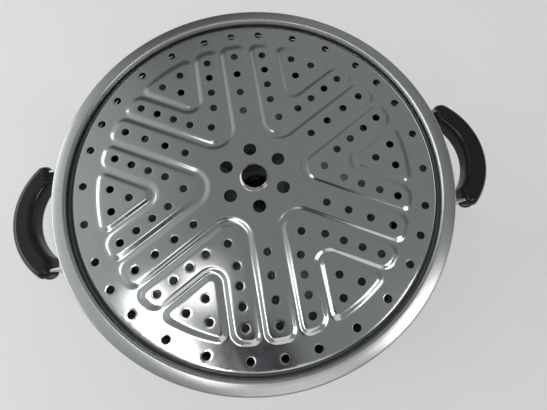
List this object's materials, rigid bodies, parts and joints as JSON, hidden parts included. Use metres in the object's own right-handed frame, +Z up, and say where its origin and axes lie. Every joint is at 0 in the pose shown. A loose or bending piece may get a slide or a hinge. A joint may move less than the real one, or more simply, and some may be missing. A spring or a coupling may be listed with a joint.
{
  "type": "idli steamer",
  "caption": "Idli steamer: stainless pot with two side grips, a perforated steaming plate in its mouth and a lift-out rack of idli trays inside.",
  "frame": {"origin": "centre of the base, on the hob", "axes": "+Z up the pot's axis, +X through the middle of one grip"},
  "size_m": [0.3238, 0.2508, 0.18],
  "materials": {
    "stainless": "polished",
    "bakelite": "gloss",
    "brass": "machined",
    "aluminium": "satin"
  },
  "bodies": {
    "pot": {"pot_shell": "stainless", "base_core": "aluminium", "base_cap": "stainless", "bracket_right": "stainless", "bracket_left": "stainless", "handle_right": "bakelite", "handle_left": "bakelite", "handle_screws": "stainless", "handle_inserts": "brass"},
    "rack": {"rack_foot": "stainless", "rack_stem": "stainless", "spacer_lower": "stainless", "spacer_middle": "stainless", "spacer_upper": "stainless", "knob_washer": "stainless"},
    "tray_lower": {"tray_lower": "stainless"},
    "tray_middle": {"tray_middle": "stainless"},
    "tray_upper": {"tray_upper": "stainless"},
    "knob": {"rack_knob": "bakelite"},
    "plate": {"steamer_plate": "stainless"}
  },
  "joints": [
    {"name": "rack_lift", "type": "slide", "parent": "pot", "child": "rack", "axis": [0, 0, 1], "range_m": [0, 0.19]},
    {"name": "plate_lift", "type": "slide", "parent": "rack", "child": "plate", "axis": [0, 0, 1], "range_m": [0, 0.08]},
    {"name": "tray_lower_turn", "type": "hinge", "parent": "rack", "child": "tray_lower", "pos_m": [0, 0, 0.0518], "axis": [0, 0, 1], "continuous": true},
    {"name": "tray_middle_turn", "type": "hinge", "parent": "rack", "child": "tray_middle", "pos_m": [0, 0, 0.0918], "axis": [0, 0, 1], "continuous": true},
    {"name": "tray_upper_turn", "type": "hinge", "parent": "rack", "child": "tray_upper", "pos_m": [0, 0, 0.1318], "axis": [0, 0, 1], "continuous": true},
    {"name": "knob_turn", "type": "hinge", "parent": "rack", "child": "knob", "pos_m": [0, 0, 0.1328], "axis": [0, 0, 1], "continuous": true}
  ]
}
